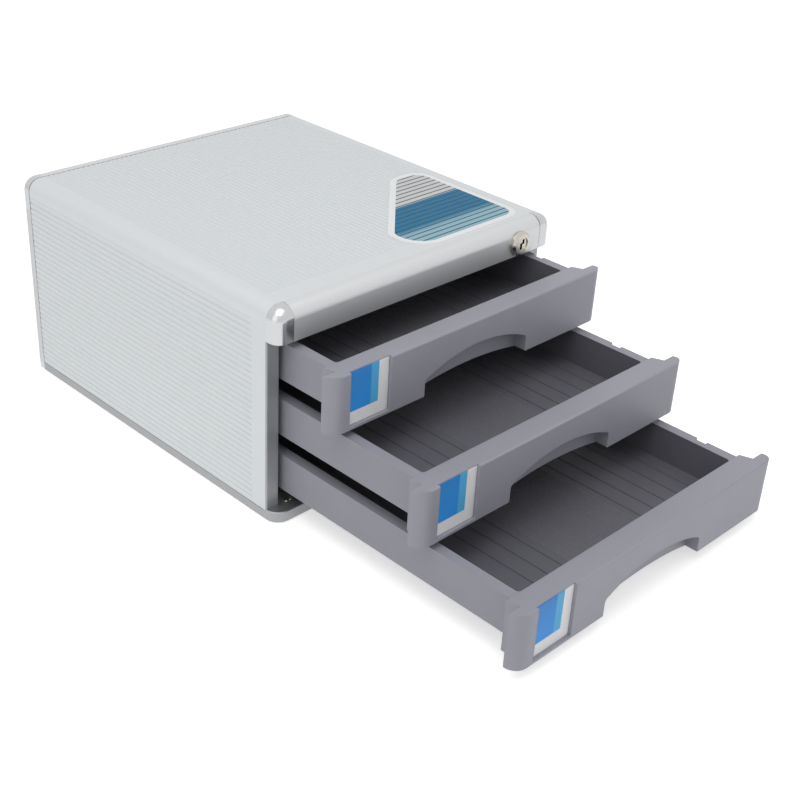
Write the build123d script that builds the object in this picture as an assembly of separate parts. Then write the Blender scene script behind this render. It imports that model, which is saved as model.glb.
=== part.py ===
from build123d import *
import math
import os

# Desktop file drawer: an aluminium case with three pull-out A4 drawers and a cam lock.
# Millimetres. +Z up, the front faces -Y, +X is to the right of a person facing the front.
# The origin is the middle of the footprint, on the surface that the feet stand on.

# ------------------------------------------------------------------ case
CASE_WIDTH = 305.0            # over the side panels
PANEL_THICKNESS = 2.0
RIB_PITCH = 5.0               # grooves of the ribbed panels, front to back
GROOVE_MOUTH = 1.6
GROOVE_FLOOR = 0.8
GROOVE_DEPTH = 0.45
PLAIN_STRIP = 16.0            # smooth strip behind the front frame
CORNER_RADIUS = 11.0          # long rounded edges between top and sides
CORNER_LEG = 14.5             # reach of a corner profile across the top and down the side
TONGUE_LENGTH = 8.0           # lap of a profile under the panel beside it
TONGUE_THICKNESS = 1.5

# ------------------------------------------------------------------ front frame
RAIL_HEIGHT = 27.4            # top rail, caps and rear caps
RAIL_NOSE_RADIUS = 10.0
RAIL_WALL = 1.8
CAP_WIDTH = 15.5
CAP_EDGE_RADIUS = 9.0
CAP_WALL = 2.0
CAP_GAP = 0.35                # dark line between the rail and each cap
POST_WIDTH = 11.5
POST_RECESS = 12.0            # posts stand this far behind the top rail's face
POST_WALL = 1.5
POST_LIP = 10.5               # return of the post beside the drawer opening
POST_EDGE_RADIUS = 1.0

# ------------------------------------------------------------------ base
BASE_TOP = 10.0               # top of the front base rail
BASE_CLEARANCE = 1.0          # rails above the resting surface
BASE_CORNER_RADIUS = 12.0
BASE_WALL = 2.0
BASE_EDGE_RADIUS = 0.8
SIDE_BASE_TOP = 8.0
BASE_SEAM = 0.7               # dark line between a side panel and its base rail
BASE_LEG = 12.0               # shelf of a base rail under the base plate
LEG_THICKNESS = 1.5
PLATE_THICKNESS = 1.5
FOOT_HEIGHT = 4.0
FOOT_RADIUS = 9.0
FOOT_INSET = 30.0             # foot centre from each outer face of the case
FOOT_RECESS_RADIUS = 4.0
FOOT_RECESS_DEPTH = 2.0

# ------------------------------------------------------------------ back
REAR_TRIM_DEPTH = 7.0
REAR_TRIM_WIDTH = 12.0
REAR_PANEL_THICKNESS = 1.5
REAR_SEAM = 0.7               # dark line between the panels and the rear trims

# ------------------------------------------------------------------ drawers
DRAWER_NAMES = ("bottom", "middle", "top")
FIRST_FRONT_GAP = 0.8         # lowest front above the base rail
FRONT_GAP = 1.4               # between two fronts, and under the top rail
REST_OPENING = (244.0, 150.0, 59.0)   # how far each drawer stands open, bottom to top
FRONT_SIDE_GAP = 0.5          # drawer front inside the case width, each side
FRONT_POST_GAP = 0.4          # closed front in front of the posts
FRONT_CREASE_HEIGHT = 47.2
BAND_RISE = 4.7               # the top band rises this much towards the face
FRONT_DEPTH = 24.0
FRONT_CORNER_RADIUS = 11.0
FRONT_CREASE_RADIUS = 1.4
FRONT_OPENING_GAP = 1.0       # rear part of a front beside a post
BAND_THICKNESS = 2.5
GRIP_HALF_WIDTH = 58.0
GRIP_SKIN = 2.5
GRIP_BACK = 11.2              # back plate of the finger pocket behind the face
GRIP_STEP_HEIGHT = 14.0
GRIP_CROWN_HEIGHT = 27.0
BACK_CROWN_HEIGHT = 5.5
HOLLOW_ROOF = 8.5             # from the finger pocket and the hollows up to the tray's rim
HOLLOW_WALL = 4.0             # walls around the hollows in a front's underside
GRIP_FOOT_RADIUS = 0.8
GRIP_SHOULDER_RADIUS = 4.0
SCREW_RIB = 10.0

LABEL_COLUMN = 17.2           # rounded column between a front's left end and its label
LABEL_WIDTH = 40.2
LABEL_LEDGE = 2.2
LABEL_RECESS = 3.0
CARD_THICKNESS = 0.4
WINDOW_THICKNESS = 1.0
LABEL_GAP = 0.35

TRAY_INNER_LENGTH = 299.0     # takes A4 lengthwise
TRAY_POST_GAP = 5.0           # tray beside a front post
TRAY_SIDE = 8.8               # flange across the double side wall
TRAY_BACK_GAP = 1.0           # closed tray in front of the rear panel
TRAY_BOTTOM = 11.0            # above the lower edge of the front
TRAY_FLOOR = 2.2
TRAY_WALL = 2.0
TRAY_REAR_WALL = 2.5
TRAY_FRONT_WALL = 2.2
TRAY_CORNER_RADIUS = 3.0
SEAM = 0.1                    # fit between two pieces of one drawer
RIDGE_PITCH = 16.0
RIDGE_WIDTH = 1.2
RIDGE_HEIGHT = 0.6
FINE_ZONE_HALF = 44.0         # middle of the floor, left free of ridges
NOTCH_START = 27.0            # notch in the right flange, behind the front
NOTCH_LENGTH = 10.0
NOTCH_DEPTH = 3.0

# ------------------------------------------------------------------ runners
RUNNER_PLATE = 2.4
RUNNER_TOP_GAP = 1.0          # runner panel under the tongue of the corner profile
SHELF_LAP = 7.0               # shelf under the tray's double side wall
KICKER_LAP = 5.5              # strip over the flange, which holds the tray down
SHELF_THICKNESS = 2.0
SHELF_START = 26.0            # behind the face of the top rail
WEB_THICKNESS = 2.2
WEB_START = 62.0
RUN_CLEARANCE = 0.4
SIDE_CLEARANCE = 0.6
TRAVEL = 250.0                # from closed to the stops
STOP_REACH = 1.6              # stop lug out of the tray's side
STOP_LENGTH = 6.0
STOP_HEIGHT = 6.0
STOP_LIFT = 13.0              # stop lug above the tray's underside
STOP_GAP = 0.3
BOSS_SIZE = 10.0

# ------------------------------------------------------------------ lock
LOCK_SIDE_GAP = 26.5          # lock axis from the seam of the right cap
LOCK_LIFT = 11.4              # lock axis above the underside of the top rail
LOCK_RIM_RADIUS = 10.6
LOCK_RIM_LENGTH = 4.5
LOCK_RIM_CHAMFER = 2.0
LOCK_BARREL_RADIUS = 7.5
LOCK_BARREL_LENGTH = 22.0
LOCK_FIT = 0.05
PLUG_RADIUS = 6.1
PLUG_SINK = 0.8               # plug face behind the rim face
KEY_WIDTH = 2.6
KEY_RUN = 4.3                 # each half of the zigzag, from the plug's axis
KEY_DEPTH = 9.0
NUT_RADIUS = 10.5
NUT_LENGTH = 4.0
TAIL_RADIUS = 2.5
TAIL_LENGTH = 16.0
CRANK_RADIUS = 5.5
CRANK_THICKNESS = 2.5
CRANK_THROW = 2.2
CRANK_PIN_RADIUS = 1.5
PIN_LENGTH = 5.0
PIN_PLAY = 0.25
LOCK_TURN = 90.0              # degrees
BAR_THICKNESS = 3.6
BAR_WIDTH = 8.0
BAR_START = 42.0              # behind the face of the top rail
BAR_CLEARANCE = 0.4
ARM_THICKNESS = 3.0
ARM_HALF_HEIGHT = 4.5
ARM_END_WALL = 2.5
TOOTH_WIDTH = 4.2
TOOTH_LENGTH = 2.0
TOOTH_HEIGHT = 6.0
TOOTH_GAP = 0.7               # unlocked tooth beside a passing stud
STUD_GAP = 0.3                # locked tooth in front of its stud
STUD_REACH = 4.4              # stud out of the tray's side
STUD_RADIUS = 3.0
STUD_SHANK_RADIUS = 2.0
STUD_HEAD = 1.2               # riveted head inside the tray's hollow side
STUD_RIM_GAP = 7.2            # stud axis below the tray's rim

# ------------------------------------------------------------------ fasteners and trim
SCREW_RADIUS = 1.5
SCREW_HEAD_RADIUS = 3.0
SCREW_HEAD_HEIGHT = 1.2
SCREW_FIT = 0.05
REAR_SCREW_LENGTH = 16.0
REAR_SCREW_LIFT = 29.2        # above the lower edge of each front
FOOT_SCREW_LENGTH = 6.0
FRONT_SCREW_LENGTH = 12.0
FRONT_SCREW_DROP = 14.5       # below the tray's rim
BASE_SCREW_RADIUS = 1.0
BASE_SCREW_HEAD = 1.8
BASE_SCREW_LENGTH = 5.0
BASE_SCREW_FROM_POST = (7.0, 12.0)
STICKER_WIDTH = 126.0
STICKER_LENGTH = 125.0
STICKER_THICKNESS = 0.25
STICKER_FRONT_GAP = 3.5       # behind the top rail
STICKER_SIDE_GAP = 4.0        # from the seam of the right corner profile
STICKER_FRONT_SHOULDER = 36.0 # left end, before the long slanted edge
STICKER_SIDE_SHOULDER = 36.0
STICKER_RIGHT_RADIUS = 17.0   # both corners of the right edge
STICKER_LEFT_RADIUS = 27.0    # corner of the front and left edges
STICKER_SLANT_RADIUS = 16.0   # both ends of the slanted edge

# ------------------------------------------------------------------ derived places
DRAWER_PITCH = FRONT_CREASE_HEIGHT + FRONT_GAP
FIRST_FRONT = BASE_TOP + FIRST_FRONT_GAP
RAIL_BOTTOM = FIRST_FRONT + len(DRAWER_NAMES) * DRAWER_PITCH
CASE_HEIGHT = RAIL_BOTTOM + RAIL_HEIGHT
FRONT_INNER_HEIGHT = FRONT_CREASE_HEIGHT - BAND_RISE
TRAY_END = FRONT_DEPTH + TRAY_INNER_LENGTH + TRAY_REAR_WALL
CASE_DEPTH = TRAY_END + TRAY_BACK_GAP + REAR_PANEL_THICKNESS + REAR_TRIM_DEPTH
HALF_WIDTH = CASE_WIDTH / 2
FRONT = -CASE_DEPTH / 2
BACK = CASE_DEPTH / 2
FRAME_BACK = FRONT + POST_RECESS + POST_WALL
TRIM_FRONT = BACK - REAR_TRIM_DEPTH
PANEL_END = TRIM_FRONT - REAR_SEAM
SEAM_X = HALF_WIDTH - CORNER_LEG
SEAM_Z = CASE_HEIGHT - CORNER_LEG
PANEL_INSIDE = HALF_WIDTH - PANEL_THICKNESS
OPENING_HALF = HALF_WIDTH - POST_WIDTH
CAP_SEAM_X = HALF_WIDTH - CAP_WIDTH
PLATE_TOP = FOOT_HEIGHT + PLATE_THICKNESS
REAR_PANEL_FRONT = TRIM_FRONT - REAR_PANEL_THICKNESS
FRONT_HALF = HALF_WIDTH - FRONT_SIDE_GAP
WIDE_DEPTH = POST_RECESS - FRONT_POST_GAP
REAR_HALF = OPENING_HALF - FRONT_OPENING_GAP
LABEL_LEFT = FRONT_HALF - LABEL_COLUMN
LABEL_RIGHT = LABEL_LEFT - LABEL_WIDTH
HOLLOW_TOP = FRONT_INNER_HEIGHT - HOLLOW_ROOF
TRAY_OUTER_HALF = OPENING_HALF - TRAY_POST_GAP
TRAY_INNER_HALF = TRAY_OUTER_HALF - TRAY_SIDE
RUNNER_TOP = SEAM_Z - TONGUE_LENGTH - RUNNER_TOP_GAP
WEB_INSIDE = TRAY_OUTER_HALF + SIDE_CLEARANCE
PLATE_INSIDE = PANEL_INSIDE - RUNNER_PLATE
LOCK_X = CAP_SEAM_X - LOCK_SIDE_GAP
LOCK_Z = RAIL_BOTTOM + LOCK_LIFT
STUD_SIDE = TRAY_OUTER_HALF + STUD_REACH
STUD_HEIGHT = FRONT_INNER_HEIGHT - STUD_RIM_GAP
TOOTH_LOW = STUD_HEIGHT - TOOTH_HEIGHT / 2
TOOTH_INSIDE = STUD_SIDE + TOOTH_GAP
BAR_INSIDE = TOOTH_INSIDE + TOOTH_LENGTH
BAR_FRONT = FRONT + BAR_START
CRANK_ANGLE = math.radians(LOCK_TURN / 2)
CRANK_SIDE = CRANK_THROW * math.sin(CRANK_ANGLE)
CRANK_DROP = CRANK_THROW * math.cos(CRANK_ANGLE)
LOCK_TRAVEL = 2 * CRANK_SIDE
CRANK_FRONT = FRONT + LOCK_BARREL_LENGTH + TAIL_LENGTH
ARM_HEIGHT = LOCK_Z - CRANK_DROP


def block(x0, x1, y0, y1, z0, z1):
    centre = Pos((x0 + x1) / 2, (y0 + y1) / 2, (z0 + z1) / 2)
    return centre * Box(abs(x1 - x0), abs(y1 - y0), abs(z1 - z0))


def round_edge(solid, axis, point, radius):
    edge = solid.edges().filter_by(axis).sort_by_distance(point)[0]
    return fillet(edge, radius)


def rod(x, z, radius, y0, y1):
    """A cylinder along Y, from y0 to y1."""
    return Pos(x, (y0 + y1) / 2, z) * Rot(90, 0, 0) * Cylinder(radius, y1 - y0)


def post(x, y, radius, z0, z1):
    """A cylinder along Z, from z0 to z1."""
    return Pos(x, y, (z0 + z1) / 2) * Cylinder(radius, z1 - z0)


def crosswise(radius, x0, x1):
    """A cylinder along X at the place of a tray's lock stud, from x0 to x1."""
    y = BAR_START + BAR_WIDTH + STUD_GAP + STUD_RADIUS
    return Pos((x0 + x1) / 2, y, STUD_HEIGHT) * Rot(0, 90, 0) * Cylinder(radius, x1 - x0)


def mirrored(solid):
    return mirror(solid, about=Plane.YZ)


def save(name, shape):
    solids = shape.solids() if hasattr(shape, "solids") else ShapeList(shape)
    whole = solids[0] if len(solids) == 1 else Compound(children=list(solids))
    export_step(whole, f"parts/{name}.step")


def group(shapes):
    return Compound(children=[shape.solids()[0] for shape in shapes])


# ------------------------------------------------------------------ ribbed panels

def grooved_outline(width):
    """Outline of a panel across its ribs: outer face at 0, a groove at every pitch."""
    count = int((width - RIB_PITCH) // RIB_PITCH)
    first = -(count - 1) * RIB_PITCH / 2
    points = [(-width / 2, -PANEL_THICKNESS), (-width / 2, 0)]
    for index in range(count):
        middle = first + index * RIB_PITCH
        points.append((middle - GROOVE_MOUTH / 2, 0))
        points.append((middle - GROOVE_FLOOR / 2, -GROOVE_DEPTH))
        points.append((middle + GROOVE_FLOOR / 2, -GROOVE_DEPTH))
        points.append((middle + GROOVE_MOUTH / 2, 0))
    points += [(width / 2, 0), (width / 2, -PANEL_THICKNESS)]
    return points


def ribbed_panel(width, length):
    """A flat panel, outer face up at z 0, its front end at y 0."""
    face = make_face(Plane.XZ * Polyline(*grooved_outline(width), close=True))
    ribbed = extrude(face, amount=length - PLAIN_STRIP, dir=(0, 1, 0))
    plain = block(-width / 2, width / 2, 0, PLAIN_STRIP, -PANEL_THICKNESS, 0)
    return plain + Pos(0, PLAIN_STRIP, 0) * ribbed


def top_panel():
    panel = ribbed_panel(2 * SEAM_X, PANEL_END - FRAME_BACK)
    return Pos(0, FRAME_BACK, CASE_HEIGHT) * panel


def left_side_panel():
    low = SIDE_BASE_TOP + BASE_SEAM
    panel = ribbed_panel(SEAM_Z - low, PANEL_END - FRAME_BACK)
    return Pos(-HALF_WIDTH, FRAME_BACK, (low + SEAM_Z) / 2) * Rot(0, -90, 0) * panel


def left_corner_profile():
    """Rounded long edge with a tongue under the top panel and one behind the side panel."""
    outer = block(-HALF_WIDTH, -SEAM_X, FRAME_BACK, PANEL_END, SEAM_Z, CASE_HEIGHT)
    outer = round_edge(outer, Axis.Y, (-HALF_WIDTH, 0, CASE_HEIGHT), CORNER_RADIUS)
    under = CASE_HEIGHT - PANEL_THICKNESS
    inner = block(-PANEL_INSIDE, -SEAM_X, FRAME_BACK, PANEL_END, SEAM_Z, under)
    inner = round_edge(inner, Axis.Y, (-PANEL_INSIDE, 0, under), CORNER_RADIUS - PANEL_THICKNESS)
    top_tongue = block(-SEAM_X - TONGUE_LENGTH, -SEAM_X + TONGUE_LENGTH,
                       FRAME_BACK, PANEL_END, under - TONGUE_THICKNESS, under)
    top_tongue -= block(-HALF_WIDTH, -SEAM_X - TONGUE_LENGTH / 2, FRAME_BACK, PANEL_END,
                        under - TONGUE_THICKNESS, under)
    side_tongue = block(-PANEL_INSIDE, -PANEL_INSIDE + TONGUE_THICKNESS, FRAME_BACK, PANEL_END,
                        SEAM_Z - TONGUE_LENGTH, SEAM_Z + TONGUE_LENGTH / 2)
    return outer - inner + top_tongue + side_tongue


# ------------------------------------------------------------------ front frame

def front_top_rail():
    """Hollow rail with a rounded nose, holes for the lock and a tongue under the top panel."""
    end = CAP_SEAM_X - CAP_GAP
    rail = block(-end, end, FRONT, FRAME_BACK, RAIL_BOTTOM, CASE_HEIGHT)
    rail = round_edge(rail, Axis.X, (0, FRONT, CASE_HEIGHT), RAIL_NOSE_RADIUS)
    low, high = RAIL_BOTTOM + RAIL_WALL, CASE_HEIGHT - RAIL_WALL
    hollow = block(-end, end, FRONT + RAIL_WALL, FRAME_BACK - RAIL_WALL, low, high)
    hollow = round_edge(hollow, Axis.X, (0, FRONT, high), RAIL_NOSE_RADIUS - RAIL_WALL)
    reach = SEAM_X - TONGUE_LENGTH - SEAM
    under = CASE_HEIGHT - PANEL_THICKNESS
    tongue = block(-reach, reach, FRAME_BACK, FRAME_BACK + TONGUE_LENGTH,
                   under - TONGUE_THICKNESS, under)
    lock_hole = rod(LOCK_X, LOCK_Z, LOCK_BARREL_RADIUS + LOCK_FIT, FRONT, FRAME_BACK)
    return rail - hollow + tongue - lock_hole


def cap_form(inset, back):
    """Outer shape of the left front cap, drawn in by inset on its outside faces."""
    side, top, face = -HALF_WIDTH + inset, CASE_HEIGHT - inset, FRONT + inset
    form = block(side, -CAP_SEAM_X, face, back, RAIL_BOTTOM, top)
    form = round_edge(form, Axis.Y, (side, 0, top), CORNER_RADIUS - inset)
    rim = [edge for edge in form.edges()
           if abs(edge.center().Y - face) < 0.01
           and edge.center().X < -CAP_SEAM_X - 0.5
           and edge.center().Z > RAIL_BOTTOM + 0.5]
    return fillet(rim, CAP_EDGE_RADIUS - inset)


def front_top_left_cap():
    outer = cap_form(0, FRAME_BACK)
    pocket = cap_form(CAP_WALL, FRAME_BACK)
    pocket &= block(-HALF_WIDTH, -CAP_SEAM_X - CAP_WALL, FRONT, BACK,
                    RAIL_BOTTOM + CAP_WALL, CASE_HEIGHT)
    return outer - pocket


def left_front_post():
    face = block(-HALF_WIDTH, -OPENING_HALF, FRONT + POST_RECESS, FRAME_BACK,
                 BASE_TOP, RAIL_BOTTOM)
    corner = (-HALF_WIDTH, FRONT + POST_RECESS, RAIL_BOTTOM / 2)
    face = round_edge(face, Axis.Z, corner, POST_EDGE_RADIUS)
    lip = block(-OPENING_HALF - POST_WALL, -OPENING_HALF, FRAME_BACK, FRAME_BACK + POST_LIP,
                BASE_TOP, RAIL_BOTTOM)
    return face + lip


# ------------------------------------------------------------------ base

def base_screw_places():
    places = []
    for distance in BASE_SCREW_FROM_POST:
        for side in (-1, 1):
            places.append((side * (OPENING_HALF - distance), FRAME_BACK - POST_WALL))
    return places


def front_base_rail():
    """Front rail of the base, rounded in plan, hollow from below."""
    back = FRAME_BACK
    rail = block(-HALF_WIDTH, HALF_WIDTH, FRONT, back, BASE_CLEARANCE, BASE_TOP)
    for side in (-HALF_WIDTH, HALF_WIDTH):
        rail = round_edge(rail, Axis.Z, (side, FRONT, BASE_TOP / 2), BASE_CORNER_RADIUS)
    rim = [edge for edge in rail.edges()
           if abs(edge.center().Z - BASE_TOP) < 0.01 and edge.center().Y < back - 0.5
           and abs(edge.center().X) < HALF_WIDTH - 0.01]
    rail = fillet(rim, BASE_EDGE_RADIUS)
    hollow = block(-HALF_WIDTH + BASE_WALL, HALF_WIDTH - BASE_WALL, FRONT + BASE_WALL,
                   back - BASE_WALL, BASE_CLEARANCE, BASE_TOP - BASE_WALL)
    inner_radius = min(BASE_CORNER_RADIUS, back - FRONT - BASE_WALL) - BASE_WALL - SEAM
    for side in (-HALF_WIDTH, HALF_WIDTH):
        hollow = round_edge(hollow, Axis.Z, (side, FRONT, BASE_TOP / 2), inner_radius)
    rail -= hollow
    for x, y in base_screw_places():
        rail -= post(x, y, BASE_SCREW_RADIUS + SCREW_FIT, BASE_CLEARANCE, BASE_TOP)
    return rail


def left_base_rail():
    start = FRAME_BACK
    wall = block(-HALF_WIDTH, -PANEL_INSIDE, start, TRIM_FRONT, BASE_CLEARANCE, SIDE_BASE_TOP)
    shelf = block(-PANEL_INSIDE, -PANEL_INSIDE + BASE_LEG, start, TRIM_FRONT,
                  FOOT_HEIGHT - LEG_THICKNESS, FOOT_HEIGHT)
    return wall + shelf


def rear_base_rail():
    wall = block(-HALF_WIDTH, HALF_WIDTH, TRIM_FRONT, BACK, BASE_CLEARANCE, SIDE_BASE_TOP)
    reach = PANEL_INSIDE - BASE_LEG - SEAM
    shelf = block(-reach, reach, TRIM_FRONT - BASE_LEG, TRIM_FRONT,
                  FOOT_HEIGHT - LEG_THICKNESS, FOOT_HEIGHT)
    return wall + shelf


def foot_places():
    x = HALF_WIDTH - FOOT_INSET
    y = CASE_DEPTH / 2 - FOOT_INSET
    return [(-x, -y), (x, -y), (-x, y), (x, y)]


def base_plate():
    plate = block(-PANEL_INSIDE, PANEL_INSIDE, FRAME_BACK, TRIM_FRONT,
                  FOOT_HEIGHT, PLATE_TOP)
    for x, y in foot_places():
        plate -= post(x, y, SCREW_RADIUS + SCREW_FIT, FOOT_HEIGHT, PLATE_TOP)
    return plate


def foot(x, y):
    pad = post(x, y, FOOT_RADIUS, 0, FOOT_HEIGHT)
    pad -= post(x, y, FOOT_RECESS_RADIUS, 0, FOOT_RECESS_DEPTH)
    return pad - post(x, y, SCREW_RADIUS + SCREW_FIT, 0, FOOT_HEIGHT)


def foot_screw(x, y):
    seat = FOOT_RECESS_DEPTH
    head = post(x, y, SCREW_HEAD_RADIUS, seat - SCREW_HEAD_HEIGHT, seat)
    return head + post(x, y, SCREW_RADIUS, seat, seat + FOOT_SCREW_LENGTH)


def base_screw(x, y):
    head = post(x, y, BASE_SCREW_HEAD, BASE_TOP, BASE_TOP + SCREW_HEAD_HEIGHT / 2)
    return head + post(x, y, BASE_SCREW_RADIUS, BASE_TOP - BASE_SCREW_LENGTH, BASE_TOP)


# ------------------------------------------------------------------ back

def rear_screw_places():
    x = HALF_WIDTH - REAR_TRIM_WIDTH / 2
    heights = [level(index) + REAR_SCREW_LIFT for index in range(len(DRAWER_NAMES))]
    return [(side * x, z) for side in (-1, 1) for z in heights]


def rear_screw(x, z):
    head = rod(x, z, SCREW_HEAD_RADIUS, BACK - SCREW_HEAD_HEIGHT, BACK)
    tip = BACK - REAR_SCREW_LENGTH
    return head + rod(x, z, SCREW_RADIUS, tip, BACK - SCREW_HEAD_HEIGHT)


def rear_screw_hole(x, z):
    head = rod(x, z, SCREW_HEAD_RADIUS + SCREW_FIT, BACK - SCREW_HEAD_HEIGHT, BACK)
    return head + rod(x, z, SCREW_RADIUS + SCREW_FIT, BACK - REAR_SCREW_LENGTH, BACK)


def rear_left_trim():
    top = CASE_HEIGHT - RAIL_HEIGHT
    trim = block(-HALF_WIDTH, -HALF_WIDTH + REAR_TRIM_WIDTH, TRIM_FRONT, BACK,
                 SIDE_BASE_TOP, top)
    for x, z in rear_screw_places():
        trim -= rear_screw_hole(x, z)
    return trim


def rear_left_cap():
    """Elbow at the top rear corner, in line with the corner profile."""
    cap = block(-HALF_WIDTH, -CAP_SEAM_X, TRIM_FRONT, BACK,
                CASE_HEIGHT - RAIL_HEIGHT, CASE_HEIGHT)
    cap = round_edge(cap, Axis.Y, (-HALF_WIDTH, 0, CASE_HEIGHT), CORNER_RADIUS)
    return cap - block(-HALF_WIDTH + REAR_TRIM_WIDTH, 0, TRIM_FRONT, BACK,
                       0, CASE_HEIGHT - REAR_TRIM_WIDTH)


def rear_top_trim():
    return block(-CAP_SEAM_X, CAP_SEAM_X, TRIM_FRONT, BACK,
                 CASE_HEIGHT - REAR_TRIM_WIDTH, CASE_HEIGHT)


def rear_panel():
    """Sheet against the inside of the rear trims, clear of the profiles' tongues."""
    reach = PANEL_INSIDE - TONGUE_THICKNESS
    top = CASE_HEIGHT - PANEL_THICKNESS - TONGUE_THICKNESS
    panel = block(-reach, reach, REAR_PANEL_FRONT, TRIM_FRONT, PLATE_TOP, top)
    for side in (-reach, reach):
        panel = round_edge(panel, Axis.Y, (side, BACK, top), CORNER_RADIUS - PANEL_THICKNESS)
    for x, z in rear_screw_places():
        panel -= rear_screw_hole(x, z)
    return panel


# ------------------------------------------------------------------ runners

def level(index):
    """Height of the lower edge of a drawer front."""
    return FIRST_FRONT + index * DRAWER_PITCH


def left_runner(index):
    """Channel for one side of a tray: shelf below, web beside, kicker above."""
    low = level(index) + TRAY_BOTTOM - RUN_CLEARANCE
    high = level(index) + FRONT_INNER_HEIGHT + RUN_CLEARANCE
    start, end = FRONT + SHELF_START, REAR_PANEL_FRONT
    shelf = block(-PLATE_INSIDE, SHELF_LAP - TRAY_OUTER_HALF, start, end, low - SHELF_THICKNESS, low)
    kicker = block(-PLATE_INSIDE, KICKER_LAP - TRAY_OUTER_HALF, start, end, high, high + SHELF_THICKNESS)
    web = block(-WEB_INSIDE - WEB_THICKNESS, -WEB_INSIDE, FRONT + WEB_START, end, low, high)
    stop_low = level(index) + TRAY_BOTTOM + STOP_LIFT - STOP_GAP
    slot_start = FRONT + TRAY_END - STOP_LENGTH - TRAVEL - STOP_GAP
    slot = block(-WEB_INSIDE - WEB_THICKNESS, -WEB_INSIDE, slot_start, end,
                 stop_low, stop_low + STOP_HEIGHT + 2 * STOP_GAP)
    return shelf + kicker + (web - slot)


def left_runner_panel():
    panel = block(-PANEL_INSIDE, -PLATE_INSIDE, FRAME_BACK, REAR_PANEL_FRONT,
                  PLATE_TOP, RUNNER_TOP)
    for index in range(len(DRAWER_NAMES)):
        panel += left_runner(index)
    for x, z in rear_screw_places():
        if x < 0:
            tip = BACK - REAR_SCREW_LENGTH
            panel += block(-PANEL_INSIDE, x + BOSS_SIZE / 2, tip, REAR_PANEL_FRONT,
                           z - BOSS_SIZE / 2, z + BOSS_SIZE / 2)
            panel -= rear_screw_hole(x, z)
    return panel


def right_runner_panel():
    """Mirror image of the left one, with the shelves slotted for the lock bar."""
    panel = mirrored(left_runner_panel())
    slot = block(TOOTH_INSIDE - LOCK_TRAVEL - BAR_CLEARANCE,
                 BAR_INSIDE + BAR_THICKNESS + BAR_CLEARANCE,
                 BAR_FRONT - BAR_CLEARANCE, BAR_FRONT + BAR_WIDTH + BAR_CLEARANCE,
                 PLATE_TOP, RUNNER_TOP)
    return panel - slot


# ------------------------------------------------------------------ drawers
# Each drawer is drawn closed, its face at y 0 and the lower edge of its front at z 0.

def place_drawer(shape, index):
    return Pos(0, FRONT - REST_OPENING[index], level(index)) * shape


def front_form():
    """Plan outline with rounded ends, under a top band that rises towards the face."""
    wide = block(-FRONT_HALF, FRONT_HALF, 0, WIDE_DEPTH, 0, FRONT_CREASE_HEIGHT)
    for side in (-FRONT_HALF, FRONT_HALF):
        wide = round_edge(wide, Axis.Z, (side, 0, 0), FRONT_CORNER_RADIUS)
    rear = block(-REAR_HALF, REAR_HALF, WIDE_DEPTH, FRONT_DEPTH, 0, FRONT_CREASE_HEIGHT)
    section = make_face(Plane.YZ * Polyline((0, 0), (FRONT_DEPTH, 0),
                                            (FRONT_DEPTH, FRONT_INNER_HEIGHT),
                                            (0, FRONT_CREASE_HEIGHT), close=True))
    prism = extrude(section, amount=FRONT_HALF, both=True)
    prism = round_edge(prism, Axis.X, (0, 0, FRONT_CREASE_HEIGHT), FRONT_CREASE_RADIUS)
    return (wide + rear) & prism


def arch(step, crown, y0, y1):
    """Cutter with straight ends up to step and an arc up to crown."""
    half = GRIP_HALF_WIDTH
    outline = Polyline((-half, step), (-half, -1), (half, -1), (half, step))
    top = ThreePointArc((half, step), (0, crown), (-half, step))
    face = make_face(Plane.XZ * (outline + top))
    return Pos(0, y0, 0) * extrude(face, amount=y1 - y0, dir=(0, 1, 0))


def front_screw_places():
    x = LABEL_RIGHT + HOLLOW_WALL
    z = FRONT_INNER_HEIGHT - FRONT_SCREW_DROP
    return [(-x, z), (x, z)]


def underside_hollows():
    """Four hollows in a front, two each side of the grip with a screw rib between them."""
    middle = LABEL_RIGHT + HOLLOW_WALL
    inner = (GRIP_HALF_WIDTH + HOLLOW_WALL, middle - SCREW_RIB / 2)
    outer = (middle + SCREW_RIB / 2, LABEL_LEFT)
    back = FRONT_DEPTH - TRAY_FRONT_WALL - HOLLOW_WALL
    face = LABEL_RECESS + HOLLOW_WALL
    hollows = []
    for near, far in (inner, outer):
        for side in (-1, 1):
            hollows.append(block(side * near, side * far, face, back, 0, HOLLOW_TOP))
    return hollows


def drawer_front():
    front = front_form()
    wall = FRONT_DEPTH - TRAY_FRONT_WALL - SEAM
    under_band = FRONT_INNER_HEIGHT - BAND_THICKNESS
    reach = TRAY_OUTER_HALF + SEAM
    front -= block(-reach, reach, wall, FRONT_DEPTH, 0, under_band)
    front -= block(-GRIP_HALF_WIDTH, GRIP_HALF_WIDTH, GRIP_SKIN, GRIP_BACK, 0, HOLLOW_TOP)
    front -= arch(GRIP_STEP_HEIGHT, GRIP_CROWN_HEIGHT, 0, GRIP_SKIN)
    for side in (-GRIP_HALF_WIDTH, GRIP_HALF_WIDTH):
        front = round_edge(front, Axis.Y, (side, GRIP_SKIN / 2, 0), GRIP_FOOT_RADIUS)
        front = round_edge(front, Axis.Y, (side, GRIP_SKIN / 2, GRIP_STEP_HEIGHT),
                           GRIP_SHOULDER_RADIUS)
    front -= arch(0, BACK_CROWN_HEIGHT, GRIP_BACK, FRONT_DEPTH)
    front -= block(-LABEL_LEFT, -LABEL_RIGHT, 0, LABEL_RECESS, LABEL_LEDGE, FRONT_CREASE_HEIGHT)
    for hollow in underside_hollows():
        front -= hollow
    for x, z in front_screw_places():
        front -= rod(x, z, SCREW_RADIUS + SCREW_FIT, FRONT_DEPTH - FRONT_SCREW_LENGTH, wall)
    return front


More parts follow.
